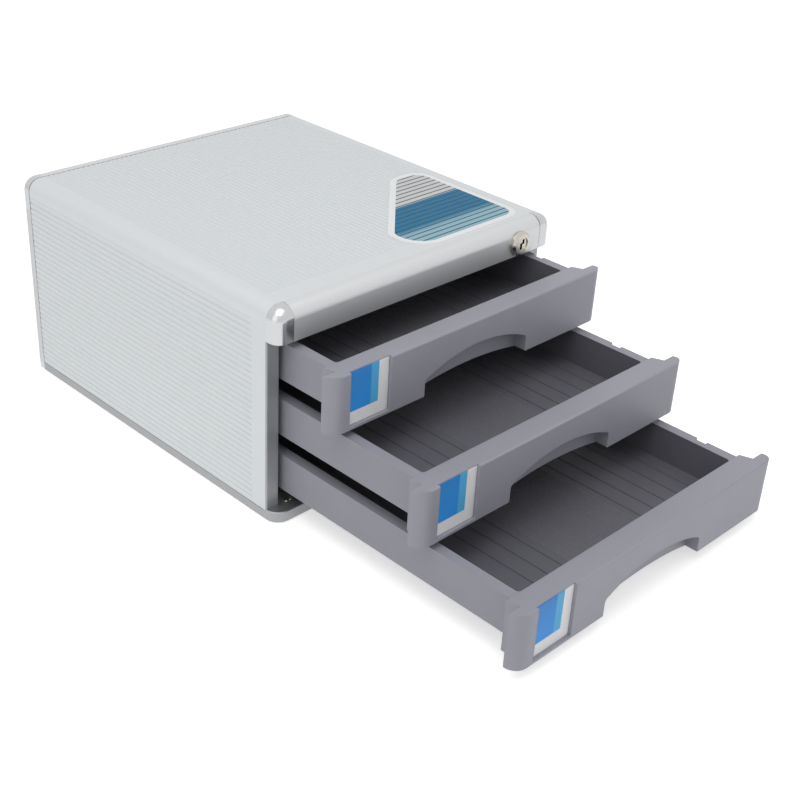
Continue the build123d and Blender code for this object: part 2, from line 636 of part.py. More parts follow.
def label_sheet(face, thickness):
    """A sheet that fills the label recess between two depths, cut off below the band."""
    top = FRONT_CREASE_HEIGHT - FRONT_CREASE_RADIUS
    return block(-LABEL_LEFT + LABEL_GAP, -LABEL_RIGHT - LABEL_GAP, face, face + thickness,
                 LABEL_LEDGE + LABEL_GAP, top)


def label_card():
    return label_sheet(LABEL_RECESS - CARD_THICKNESS, CARD_THICKNESS)


def label_window():
    return label_sheet(LABEL_RECESS - CARD_THICKNESS - WINDOW_THICKNESS, WINDOW_THICKNESS)


def tray_ridges():
    ridges = []
    count = int(TRAY_INNER_HALF // RIDGE_PITCH)
    for index in range(-count, count + 1):
        x = index * RIDGE_PITCH
        if FINE_ZONE_HALF < abs(x) < TRAY_INNER_HALF - RIDGE_WIDTH:
            ridges.append(block(x - RIDGE_WIDTH / 2, x + RIDGE_WIDTH / 2,
                                FRONT_DEPTH + TRAY_WALL, TRAY_END - TRAY_REAR_WALL - TRAY_WALL,
                                TRAY_BOTTOM + TRAY_FLOOR,
                                TRAY_BOTTOM + TRAY_FLOOR + RIDGE_HEIGHT))
    return ridges


def tray_shell():
    """Tray with hollow sides: inner wall, flange and outer wall."""
    half, rim = TRAY_OUTER_HALF, FRONT_INNER_HEIGHT
    start = FRONT_DEPTH - TRAY_FRONT_WALL
    band = rim - BAND_THICKNESS - SEAM
    shell = block(-half, half, FRONT_DEPTH + SEAM, TRAY_END, TRAY_BOTTOM, rim)
    shell += block(-half, half, start, FRONT_DEPTH + SEAM, TRAY_BOTTOM, band)
    inside = block(-TRAY_INNER_HALF, TRAY_INNER_HALF, FRONT_DEPTH, TRAY_END - TRAY_REAR_WALL,
                   TRAY_BOTTOM + TRAY_FLOOR, rim)
    shell -= fillet(inside.edges().filter_by(Axis.Z), TRAY_CORNER_RADIUS)
    inner, outer = TRAY_INNER_HALF + TRAY_WALL, half - TRAY_WALL
    for side in (-1, 1):
        shell -= block(side * inner, side * outer, FRONT_DEPTH + TRAY_WALL,
                       TRAY_END - TRAY_REAR_WALL, TRAY_BOTTOM, rim - TRAY_WALL)
    return shell


def drawer_tray():
    tray = tray_shell()
    for ridge in tray_ridges():
        tray += ridge
    half, rim = TRAY_OUTER_HALF, FRONT_INNER_HEIGHT
    notch = FRONT_DEPTH + NOTCH_START
    tray -= block(half - NOTCH_DEPTH, half, notch, notch + NOTCH_LENGTH, rim - TRAY_WALL, rim)
    stop_low = TRAY_BOTTOM + STOP_LIFT
    for side in (-1, 1):
        tray += block(side * half, side * (half + STOP_REACH), TRAY_END - STOP_LENGTH, TRAY_END,
                      stop_low, stop_low + STOP_HEIGHT)
    tray -= crosswise(STUD_SHANK_RADIUS + SCREW_FIT, half - TRAY_WALL, half)
    for x, z in front_screw_places():
        tray -= rod(x, z, SCREW_RADIUS + SCREW_FIT, FRONT_DEPTH - TRAY_FRONT_WALL, FRONT_DEPTH)
        tray -= rod(x, z, SCREW_HEAD_RADIUS + SCREW_FIT, FRONT_DEPTH - SCREW_HEAD_HEIGHT,
                    FRONT_DEPTH)
    return tray


def front_screw(x, z):
    head_start = FRONT_DEPTH - SCREW_HEAD_HEIGHT
    head = rod(x, z, SCREW_HEAD_RADIUS, head_start, FRONT_DEPTH)
    return head + rod(x, z, SCREW_RADIUS, FRONT_DEPTH - FRONT_SCREW_LENGTH, head_start)


# ------------------------------------------------------------------ lock

def lock_stud():
    """Steel stud riveted through a tray's right side, drawn with its closed drawer."""
    inner, outer = TRAY_OUTER_HALF - TRAY_WALL, TRAY_OUTER_HALF
    stud = crosswise(STUD_RADIUS, outer, STUD_SIDE)
    stud += crosswise(STUD_SHANK_RADIUS, inner, outer)
    return stud + crosswise(STUD_RADIUS, inner - STUD_HEAD, inner)


def lock_housing():
    rim = rod(LOCK_X, LOCK_Z, LOCK_RIM_RADIUS, FRONT - LOCK_RIM_LENGTH, FRONT)
    face_edge = rim.edges().filter_by(GeomType.CIRCLE).sort_by(Axis.Y)[0]
    rim = chamfer(face_edge, LOCK_RIM_CHAMFER)
    barrel = rod(LOCK_X, LOCK_Z, LOCK_BARREL_RADIUS, FRONT, FRONT + LOCK_BARREL_LENGTH)
    bore = rod(LOCK_X, LOCK_Z, PLUG_RADIUS + LOCK_FIT, FRONT - LOCK_RIM_LENGTH,
               FRONT + LOCK_BARREL_LENGTH)
    return rim + barrel - bore


def lock_nut():
    start = FRAME_BACK
    outline = Plane.XZ * Pos(LOCK_X, LOCK_Z) * RegularPolygon(NUT_RADIUS, 6)
    nut = Pos(0, start, 0) * extrude(outline, amount=NUT_LENGTH, dir=(0, 1, 0))
    return nut - rod(LOCK_X, LOCK_Z, LOCK_BARREL_RADIUS + LOCK_FIT, start, start + NUT_LENGTH)


def keyway(face):
    """Zigzag slot for a flat key: an upper and a lower run joined by a step."""
    step = KEY_WIDTH / 2
    upper = block(LOCK_X - KEY_WIDTH / 2 + step, LOCK_X + KEY_WIDTH / 2 + step,
                  face, face + KEY_DEPTH, LOCK_Z, LOCK_Z + KEY_RUN)
    lower = block(LOCK_X - KEY_WIDTH / 2 - step, LOCK_X + KEY_WIDTH / 2 - step,
                  face, face + KEY_DEPTH, LOCK_Z - KEY_RUN, LOCK_Z + step)
    return upper + lower


def lock_plug():
    face = FRONT - LOCK_RIM_LENGTH + PLUG_SINK
    plug = rod(LOCK_X, LOCK_Z, PLUG_RADIUS, face, FRONT + LOCK_BARREL_LENGTH)
    plug += rod(LOCK_X, LOCK_Z, TAIL_RADIUS, FRONT + LOCK_BARREL_LENGTH, CRANK_FRONT)
    return plug - keyway(face)


def lock_crank():
    disc = rod(LOCK_X, LOCK_Z, CRANK_RADIUS, CRANK_FRONT, CRANK_FRONT + CRANK_THICKNESS)
    pin_start = CRANK_FRONT + CRANK_THICKNESS
    pin = rod(LOCK_X + CRANK_SIDE, LOCK_Z - CRANK_DROP, CRANK_PIN_RADIUS,
              pin_start, pin_start + PIN_LENGTH)
    return disc + pin


def lock_bar():
    """Upright bar, from its lowest tooth up to the top of its arm."""
    top = ARM_HEIGHT + ARM_HALF_HEIGHT
    return block(BAR_INSIDE, BAR_INSIDE + BAR_THICKNESS, BAR_FRONT, BAR_FRONT + BAR_WIDTH,
                 level(0) + TOOTH_LOW, top)


def lock_arm():
    """Arm from the bar to the crank pin, which pushes it sideways in an upright slot."""
    low, high = ARM_HEIGHT - ARM_HALF_HEIGHT, ARM_HEIGHT + ARM_HALF_HEIGHT
    play = CRANK_PIN_RADIUS + PIN_PLAY
    pin_x = LOCK_X + CRANK_SIDE
    arm = block(pin_x - play - ARM_END_WALL, BAR_INSIDE, BAR_FRONT, BAR_FRONT + ARM_THICKNESS,
                low, high)
    arm += block(BAR_INSIDE - ARM_THICKNESS, BAR_INSIDE, BAR_FRONT, BAR_FRONT + BAR_WIDTH,
                 low, high)
    return arm - block(pin_x - play, pin_x + play, BAR_FRONT, BAR_FRONT + ARM_THICKNESS,
                       LOCK_Z - CRANK_THROW - play, LOCK_Z - CRANK_DROP + play)


def lock_tooth(index):
    back = BAR_FRONT + BAR_WIDTH
    low = level(index) + TOOTH_LOW
    return block(TOOTH_INSIDE, BAR_INSIDE, back - TOOTH_WIDTH, back, low, low + TOOTH_HEIGHT)


# ------------------------------------------------------------------ sticker

def top_sticker():
    """Rounded triangle on the top panel, square with the front right corner."""
    right = SEAM_X - STICKER_SIDE_GAP
    near = FRAME_BACK + STICKER_FRONT_GAP
    left, far = right - STICKER_WIDTH, near + STICKER_LENGTH
    corners = {
        (right, near): STICKER_RIGHT_RADIUS,
        (right, far): STICKER_RIGHT_RADIUS,
        (right - STICKER_SIDE_SHOULDER, far): STICKER_SLANT_RADIUS,
        (left, near + STICKER_FRONT_SHOULDER): STICKER_SLANT_RADIUS,
        (left, near): STICKER_LEFT_RADIUS,
    }
    face = make_face(Polyline(*corners, close=True))
    for corner, radius in corners.items():
        face = fillet(face.vertices().sort_by_distance((*corner, 0))[0], radius)
    return Pos(0, 0, CASE_HEIGHT) * extrude(face, amount=STICKER_THICKNESS)


# ------------------------------------------------------------------ build

def build_case():
    pairs = {
        "side_panel": left_side_panel(),
        "corner_profile": left_corner_profile(),
        "front_post": left_front_post(),
        "base_rail": left_base_rail(),
    }
    for name, left in pairs.items():
        save(f"left_{name}", left)
        save(f"right_{name}", mirrored(left))
    for prefix, name, left in (("front_top", "cap", front_top_left_cap()),
                               ("rear", "cap", rear_left_cap()),
                               ("rear", "trim", rear_left_trim())):
        save(f"{prefix}_left_{name}", left)
        save(f"{prefix}_right_{name}", mirrored(left))
    save("top_panel", top_panel())
    save("front_top_rail", front_top_rail())
    save("front_base_rail", front_base_rail())
    save("rear_base_rail", rear_base_rail())
    save("base_plate", base_plate())
    save("rear_top_trim", rear_top_trim())
    save("rear_panel", rear_panel())
    save("left_runner_panel", left_runner_panel())
    save("right_runner_panel", right_runner_panel())
    save("top_sticker", top_sticker())


def build_fasteners():
    save("rubber_feet", group([foot(x, y) for x, y in foot_places()]))
    save("foot_screws", group([foot_screw(x, y) for x, y in foot_places()]))
    save("base_rail_screws", group([base_screw(x, y) for x, y in base_screw_places()]))
    save("rear_screws", group([rear_screw(x, z) for x, z in rear_screw_places()]))


def build_lock():
    save("lock_housing", lock_housing())
    save("lock_nut", lock_nut())
    save("lock_plug", lock_plug())
    save("lock_crank", lock_crank())
    save("lock_bar", lock_bar())
    save("lock_arm", lock_arm())
    save("lock_teeth", group([lock_tooth(index) for index in range(len(DRAWER_NAMES))]))


def build_drawers():
    pieces = {
        "drawer_tray": drawer_tray(),
        "drawer_front": drawer_front(),
        "label_card": label_card(),
        "label_window": label_window(),
        "lock_stud": lock_stud(),
    }
    screws = [front_screw(x, z) for x, z in front_screw_places()]
    for index, name in enumerate(DRAWER_NAMES):
        for piece, shape in pieces.items():
            save(f"{name}_{piece}", place_drawer(shape, index))
        save(f"{name}_front_screws", group([place_drawer(screw, index) for screw in screws]))


os.makedirs("parts", exist_ok=True)
build_case()
build_fasteners()
build_lock()
build_drawers()
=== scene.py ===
import math

import bmesh
import bpy
from bpy.props import FloatProperty, FloatVectorProperty, IntProperty, PointerProperty
from bpy.types import Operator, Panel, PropertyGroup
from mathutils import Matrix, Vector


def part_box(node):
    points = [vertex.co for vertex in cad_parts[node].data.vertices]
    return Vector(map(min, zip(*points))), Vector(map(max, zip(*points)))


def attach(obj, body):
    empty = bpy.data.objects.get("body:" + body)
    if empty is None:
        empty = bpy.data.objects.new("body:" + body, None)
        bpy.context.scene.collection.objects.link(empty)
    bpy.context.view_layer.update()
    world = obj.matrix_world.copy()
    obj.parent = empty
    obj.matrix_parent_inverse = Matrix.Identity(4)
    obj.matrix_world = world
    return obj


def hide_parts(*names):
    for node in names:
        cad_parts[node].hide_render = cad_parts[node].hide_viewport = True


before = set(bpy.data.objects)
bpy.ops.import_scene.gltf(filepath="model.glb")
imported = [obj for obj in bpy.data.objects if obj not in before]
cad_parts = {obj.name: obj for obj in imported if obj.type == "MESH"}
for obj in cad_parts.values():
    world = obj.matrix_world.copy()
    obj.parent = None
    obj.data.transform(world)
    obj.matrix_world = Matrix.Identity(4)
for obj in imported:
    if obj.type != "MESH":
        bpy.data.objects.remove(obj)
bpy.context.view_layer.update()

bl_info = {
    "name": "Desktop File Drawer",
    "version": (1, 0, 0),
    "blender": (4, 5, 0),
    "location": "3D View > Sidebar > Cabinet",
    "description": "Finishes, screws, floor ribs, labels, sticker and studio of a drawer cabinet",
    "category": "Object",
}

MM = 0.001
DRAWERS = ("bottom", "middle", "top")
ALONG_Z = Vector((0, 0, 1))
RIBS_START = -138.0 * MM      # behind the smooth strips of the panels
RIB_PITCH = 5.0 * MM          # between two grooves of a panel
TRAY_INSIDE = 127.3 * MM      # inner walls of the trays, from the middle
TRAY_LIP = 0.2 * MM           # edge of a tray's rim, in the outer colour
FLAT = 0.01 * MM              # points this near to the top of a head lie on its face
HEAD_SPREAD = 2.2             # points of one screw's head lie within this many radii
RIB_RADIUS = 0.3              # half the width of a fine rib, of the pitch
MOULDED_ROUGHNESS = 0.46
CARD_BEVEL = 0.1 * MM
PAST_EDGE = 1.1               # beyond the edge of a card, of its width or height
FLOOR_SIZE = 6.0

# Stretches that draw a noise out into lines along an axis
LINES_ALONG_X = (5, 1400, 1400)
LINES_ALONG_Y = (1400, 5, 1400)
LINES_ALONG_Z = (1400, 1400, 5)

# ------------------------------------------------------------------ sizes and colours


def length(name, description, default, low=0.0, high=1.0):
    return FloatProperty(name=name, description=description, default=default, min=low, max=high,
                         subtype="DISTANCE", unit="LENGTH", precision=5)


def share(name, description, default):
    return FloatProperty(name=name, description=description, default=default, min=0.0, max=1.0,
                         subtype="FACTOR")


def colour(name, description, default):
    return FloatVectorProperty(name=name, description=description, default=default, size=3,
                               min=0.0, max=1.0, subtype="COLOR")


class CaseFinish(PropertyGroup):
    shell: colour("Shell", "Anodised top, sides and long corner profiles", (0.72, 0.75, 0.765))
    rail: colour("Rails", "Satin top rail and rear trims", (0.66, 0.67, 0.68))
    post: colour("Posts", "Satin posts beside the drawers", (0.40, 0.41, 0.425))
    cap: colour("Caps", "Silver plated caps", (0.56, 0.57, 0.58))
    side: colour("Side base rails", "Satin rails under the side panels", (0.48, 0.49, 0.50))
    base: colour("Front base rail", "Brushed front rail of the base", (0.37, 0.38, 0.39))
    # Painted shade: the ribbed panels' colour is darkened by this share inside their grooves, in place of
    # the shade that falls there
    painted_groove_shade: share("Groove shade", "Tone inside the grooves of the ribbed panels", 0.935)
    sheet: colour("Sheet", "Powder coated back and base plate", (0.40, 0.42, 0.44))
    runner: colour("Runners", "Moulded runner panels", (0.035, 0.035, 0.04))
    rubber: colour("Feet", "Rubber feet", (0.02, 0.02, 0.02))
    shell_roughness: share("Shell roughness", "Roughness of the anodised panels", 0.40)
    rail_roughness: share("Rail roughness", "Roughness of the satin rails and trims", 0.44)
    cap_roughness: share("Cap roughness", "Roughness of the plated pieces", 0.24)


class DrawerFinish(PropertyGroup):
    front: colour("Fronts", "Moulded drawer fronts", (0.345, 0.345, 0.398))
    tray: colour("Trays", "Outer sides and flanges of the trays", (0.31, 0.31, 0.355))
    inside: colour("Tray insides", "Floors and inner walls of the trays", (0.135, 0.135, 0.158))
    ribs: colour("Fine ribs", "Fine ribs of the tray floors", (0.17, 0.17, 0.195))
    grain: length("Grain", "Size of the moulded grain", 0.0006, 0.0001, 0.005)
    rib_pitch: length("Fine rib pitch", "Between two fine ribs of a tray floor", 0.0024, 0.001, 0.02)
    rib_height: length("Fine rib height", "Fine ribs above the tray floor", 0.0005, 0.0001, 0.002)
    rib_zone: length("Fine rib zone", "Half the width of the ribbed middle", 0.040, 0.01, 0.1)
    floor: length("Floor", "Thickness of a tray's floor", 0.0022, 0.001, 0.01)


class LockFinish(PropertyGroup):
    nickel: colour("Nickel", "Lock rim and plug", (0.56, 0.53, 0.48))
    # Painted shade: near-black colour for the keyway's deep slot, in place of the shadow inside it
    keyway: colour("Keyway", "Shade inside the keyway", (0.012, 0.012, 0.012))
    zinc: colour("Zinc", "Screws, studs and lock bar", (0.55, 0.55, 0.53))
    keyway_start: length("Keyway start", "Plug's face to the shade of the keyway", 0.00015, 0.0, 0.002)
    keyway_end: length("Keyway end", "Plug's face to the bottom of the keyway", 0.010, 0.001, 0.02)
    keyway_reach: length("Keyway reach", "Half the width of the shaded middle", 0.0045, 0.001, 0.01)


class ScrewForm(PropertyGroup):
    recess_width: share("Recess width", "Width of the cross recess, of the head's radius", 0.30)
    recess_reach: share("Recess reach", "Reach of the cross recess, of the head's radius", 0.62)
    recess_depth: share("Recess depth", "Depth of the cross recess, of the head's height", 0.6)
    rim: share("Rim", "Straight rim of the head, of its height", 0.45)
    crown: share("Crown", "Top of the head, of its radius", 0.78)
    tip: share("Tip", "End of the shank, of its radius", 0.6)
    sides: IntProperty(name="Sides", description="Sides of a screw's head", default=24, min=8, max=64)


class LabelPrint(PropertyGroup):
    card: colour("Card", "Unprinted card", (0.93, 0.93, 0.94))
    field: colour("Field", "Printed field", (0.003, 0.25, 0.70))
    band: colour("Band", "Lighter band beside the field", (0.07, 0.46, 0.82))
    bottom: share("Print's bottom", "Lower edge of the print, of the card's height", 0.24)
    field_end: share("Field's end", "Right edge of the field, of the card's width", 0.56)
    band_end: share("Band's end", "Right edge of the band, of the card's width", 0.75)


class StickerPrint(PropertyGroup):
    border: length("Border", "White border of the sticker", 0.0055, 0.001, 0.02)
    light: colour("Rear", "Pale zone at the rear", (0.66, 0.67, 0.68))
    deep: colour("Middle", "Blue zone in the middle", (0.004, 0.18, 0.35))
    pale: colour("Front", "Pale blue zone at the front", (0.30, 0.52, 0.62))
    line: colour("Stripes", "Thin dark stripes", (0.045, 0.05, 0.055))
    film: colour("Film", "Unprinted film", (0.88, 0.89, 0.90))
    stripe: length("Stripe pitch", "Between two thin printed stripes", 0.0064, 0.001, 0.05)
    pale_end: share("Front zone's end", "Where the front zone starts to fade, of the length", 0.19)
    deep_start: share("Middle zone's start", "Where the middle zone is full, of the length", 0.27)
    deep_end: share("Middle zone's end", "Rear edge of the middle zone, of the length", 0.575)
    light_start: share("Rear zone's start", "Front edge of the rear zone, of the length", 0.58)


class StudioForm(PropertyGroup):
    floor: colour("Floor", "Pale floor", (0.90, 0.90, 0.90))
    key: FloatProperty(name="Key light", description="Large soft lamp from above", default=13.6,
                       min=0.0, max=500.0, unit="POWER")
    fill: FloatProperty(name="Fill light", description="Soft lamp from the left", default=2.6,
                        min=0.0, max=500.0, unit="POWER")
    ambient: share("Ambient", "Even light from all round", 0.41)
    glow: share("Floor glow", "Brightness that seen rays add to the floor", 0.55)
    side: FloatProperty(name="Side light", description="Soft lamp from the front right", default=2.5,
                        min=0.0, max=500.0, unit="POWER")
    lens: FloatProperty(name="Lens", description="Focal length on a 36 mm sensor", default=60.902,
                        min=10.0, max=300.0, unit="CAMERA")


# ------------------------------------------------------------------ material helpers


class Finish:
    """A Principled material with its own small set of texture helpers."""

    def __init__(self, name, base, **settings):
        self.material = bpy.data.materials.new(name)
        self.material.use_nodes = True
        self.tree = self.material.node_tree
        self.shader = self.tree.nodes["Principled BSDF"]
        self.shader.inputs["Base Color"].default_value = (*base, 1.0)
        for socket, value in settings.items():
            self.shader.inputs[socket.replace("_", " ")].default_value = value

    def node(self, kind, **settings):
        made = self.tree.nodes.new(kind)
        for name, value in settings.items():
            setattr(made, name, value)
        return made

    def link(self, source, target):
        self.tree.links.new(source, target)

    def place(self, scale=(1, 1, 1), shift=(0, 0, 0), layer=None):
        """Object coordinates, or the piece's own UV layer, moved and scaled."""
        if layer:
            start = self.node("ShaderNodeUVMap", uv_map=layer).outputs["UV"]
        else:
            start = self.node("ShaderNodeTexCoord").outputs["Object"]
        mapping = self.node("ShaderNodeMapping")
        mapping.inputs["Scale"].default_value = scale
        mapping.inputs["Location"].default_value = shift
        self.link(start, mapping.inputs["Vector"])
        return mapping.outputs["Vector"]

    def axes(self, **placing):
        """The three coordinates of a place, each on its own."""
        split = self.node("ShaderNodeSeparateXYZ")
        self.link(self.place(**placing), split.inputs[0])
        return split.outputs

    def noise(self, scale, stretch=(1, 1, 1), detail=3.0, roughness=0.5):
        noise = self.node("ShaderNodeTexNoise")
        self.link(self.place(scale=stretch), noise.inputs["Vector"])
        noise.inputs["Scale"].default_value = scale
        noise.inputs["Detail"].default_value = detail
        noise.inputs["Roughness"].default_value = roughness
        return noise.outputs["Fac"]

    def spread(self, value, low, high):
        """A value of 0 to 1 mapped to low to high."""
        mapped = self.node("ShaderNodeMapRange")
        mapped.inputs["To Min"].default_value = low
        mapped.inputs["To Max"].default_value = high
        self.link(value, mapped.inputs["Value"])
        return mapped.outputs["Result"]

    def ramp(self, value, stops, interpolation="LINEAR"):
        ramp = self.node("ShaderNodeValToRGB")
        ramp.color_ramp.interpolation = interpolation
        points = ramp.color_ramp.elements
        while len(points) < len(stops):
            points.new(0.5)
        for point, (position, tint) in zip(points, stops):
            point.position = position
            point.color = (*tint, 1.0)
        self.link(value, ramp.inputs["Fac"])
        return ramp.outputs["Color"]

    def mottle(self, value, base, low, high):
        """The base colour made darker and lighter by a texture."""
        dark = tuple(min(1.0, channel * low) for channel in base)
        light = tuple(min(1.0, channel * high) for channel in base)
        return self.ramp(value, [(0.25, dark), (0.75, light)])

    def paint(self, tint):
        self.link(tint, self.shader.inputs["Base Color"])

    def tones(self, value, base, low, high):
        self.paint(self.mottle(value, base, low, high))

    def maths(self, operation, *values):
        made = self.node("ShaderNodeMath", operation=operation)
        for socket, value in zip(made.inputs, values):
            if isinstance(value, bpy.types.NodeSocket):
                self.link(value, socket)
            else:
                socket.default_value = value
        return made.outputs[0]

    def lay(self, below, tint, mask):
        """A tint laid over a colour where the mask is 1."""
        mix = self.node("ShaderNodeMix", data_type="RGBA")
        self.link(mask, mix.inputs["Factor"])
        colours = [socket for socket in mix.inputs if socket.type == "RGBA"]
        for socket, value in zip(colours, (below, tint)):
            if isinstance(value, bpy.types.NodeSocket):
                self.link(value, socket)
            else:
                socket.default_value = (*value, 1.0)
        return [socket for socket in mix.outputs if socket.type == "RGBA"][0]

    def inside(self, value, low, high):
        """1 where a value lies between two limits."""
        return self.maths("MULTIPLY", self.maths("GREATER_THAN", value, low),
                          self.maths("LESS_THAN", value, high))

    def rough(self, value, low, high):
        self.link(self.spread(value, low, high), self.shader.inputs["Roughness"])

    def bump(self, value, strength, height):
        bump = self.node("ShaderNodeBump")
        bump.inputs["Strength"].default_value = strength
        bump.inputs["Distance"].default_value = height
        self.link(value, bump.inputs["Height"])
        self.link(bump.outputs["Normal"], self.shader.inputs["Normal"])


def drawn_metal(name, base, metallic, roughness, stretch, contrast):
    """Extruded metal with fine die lines along its length."""
    finish = Finish(name, base, Metallic=metallic, Roughness=roughness)
    lines = finish.noise(1.0, stretch, detail=4.0, roughness=0.65)
    finish.tones(lines, base, 1.0 - contrast, 1.0 + contrast)
    finish.rough(lines, roughness - 0.05, roughness + 0.06)
    finish.bump(lines, 0.08, 0.00003)
    return finish.material


def ribbed(name, look, axis, middle):
    """Anodised panel with a soft painted shade along its grooves, which lie half a pitch off the middle.
    """
    finish = Finish(name, look.shell, Metallic=0.25, Roughness=look.shell_roughness)
    lines = finish.noise(1.0, LINES_ALONG_Y, detail=3.0, roughness=0.6)
    plain = finish.mottle(lines, look.shell, 0.985, 1.015)
    place = finish.axes()
    # Painted shade: the colour darkens towards each groove, behind the smooth strips, in place of the
    # shade inside the grooves
    turns = finish.maths("MULTIPLY_ADD", place[axis], 1 / RIB_PITCH, 0.5 - middle / RIB_PITCH)
    swing = finish.maths("ABSOLUTE", finish.maths("SUBTRACT", finish.maths("FRACT", turns), 0.5))
    near = finish.ramp(finish.maths("MULTIPLY", swing, 2.0),
                       [(0.10, (1, 1, 1)), (0.55, (0, 0, 0))], "EASE")
    behind = finish.maths("GREATER_THAN", place["Y"], RIBS_START)
    shade = tuple(channel * look.painted_groove_shade for channel in look.shell)
    finish.paint(finish.lay(plain, shade, finish.maths("MULTIPLY", near, behind)))
    finish.rough(lines, look.shell_roughness - 0.03, look.shell_roughness + 0.05)
    return finish.material


def plated(name, base, roughness, metallic=1.0):
    finish = Finish(name, base, Metallic=metallic, Roughness=roughness)
    haze = finish.noise(260.0, detail=3.0)
    finish.tones(haze, base, 0.985, 1.01)
    finish.rough(haze, roughness * 0.8, roughness * 1.3)
    finish.bump(finish.noise(900.0), 0.03, 0.00003)
    return finish.material


def moulded(name, base, grain, roughness=MOULDED_ROUGHNESS):
    """Moulded plastic: pebbled grain, slight cloudiness and varying gloss."""
    finish = Finish(name, base, Roughness=roughness)
    cloud = finish.noise(18.0, detail=4.0, roughness=0.6)
    pebbles = finish.noise(1.0 / grain, detail=2.0)
    finish.tones(cloud, base, 0.965, 1.03)
    finish.rough(pebbles, roughness - 0.07, roughness + 0.09)
    finish.bump(pebbles, 0.22, 0.00006)
    return finish.material


def powder_coat(name, base):
    finish = Finish(name, base, Roughness=0.55)
    peel = finish.noise(700.0, detail=2.0)
    finish.tones(finish.noise(30.0), base, 0.95, 1.05)
    finish.rough(peel, 0.48, 0.66)
    finish.bump(peel, 0.3, 0.0001)
    return finish.material


def rubber(name, base):
    finish = Finish(name, base, Roughness=0.8)
    grain = finish.noise(1400.0, detail=3.0)
    finish.tones(grain, base, 0.8, 1.4)
    finish.rough(grain, 0.7, 0.92)
    finish.bump(grain, 0.3, 0.0001)
    return finish.material


def clear_plastic(name):
    finish = Finish(name, (0.93, 0.95, 0.97), Roughness=0.08, Alpha=0.03, Specular_IOR_Level=0.3)
    scuffs = finish.noise(420.0, (1.0, 1.0, 0.15), detail=4.0)
    finish.rough(scuffs, 0.05, 0.14)
    finish.bump(finish.noise(60.0), 0.05, 0.0001)
    return finish.material


def dress(names, material):
    for name in names:
        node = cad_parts[name]
        if not node.material_slots:
            node.data.materials.append(None)
        for place in node.material_slots:
            place.link = "OBJECT"
            place.material = material


# ------------------------------------------------------------------ mesh helpers


def add_object(name, mesh, body, material=None):
    piece = bpy.data.objects.new(name, mesh)
    bpy.context.scene.collection.objects.link(piece)
    if material is not None:
        mesh.materials.clear()
        mesh.materials.append(material)
    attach(piece, body)
    return piece


def mesh_from(name, builder):
    mesh = bpy.data.meshes.new(name)
    shape = bmesh.new()
    builder(shape)
    bmesh.ops.recalc_face_normals(shape, faces=shape.faces)
    shape.to_mesh(mesh)
    shape.free()
    return mesh


def rounded_outline(corners, radii, steps=12):
    """A polygon's corners, each replaced by an arc of its own radius."""
    points = []
    count = len(corners)
    for index, radius in enumerate(radii):
        here = Vector(corners[index])
        before = (Vector(corners[index - 1]) - here).normalized()
        after = (Vector(corners[(index + 1) % count]) - here).normalized()
        half = before.angle(after) / 2
        reach = radius / math.tan(half)
        centre = here + (before + after).normalized() * (radius / math.sin(half))
        start = here + before * reach - centre
        end = here + after * reach - centre
        for step in range(steps + 1):
            points.append(centre + start.slerp(end, step / steps).normalized() * radius)
    return points


def inset_corners(corners, distance):
    """Corners of an anticlockwise polygon moved inwards by a distance from every side."""
    moved = []
    count = len(corners)
    for index in range(count):
        here = Vector(corners[index])
        before = (here - Vector(corners[index - 1])).normalized()
        after = (Vector(corners[(index + 1) % count]) - here).normalized()
        left_before = Vector((-before.y, before.x))
        left_after = Vector((-after.y, after.x))
        bisector = (left_before + left_after).normalized()
        moved.append(here + bisector * (distance / bisector.dot(left_before)))
    return moved


# ------------------------------------------------------------------ geometry node helpers


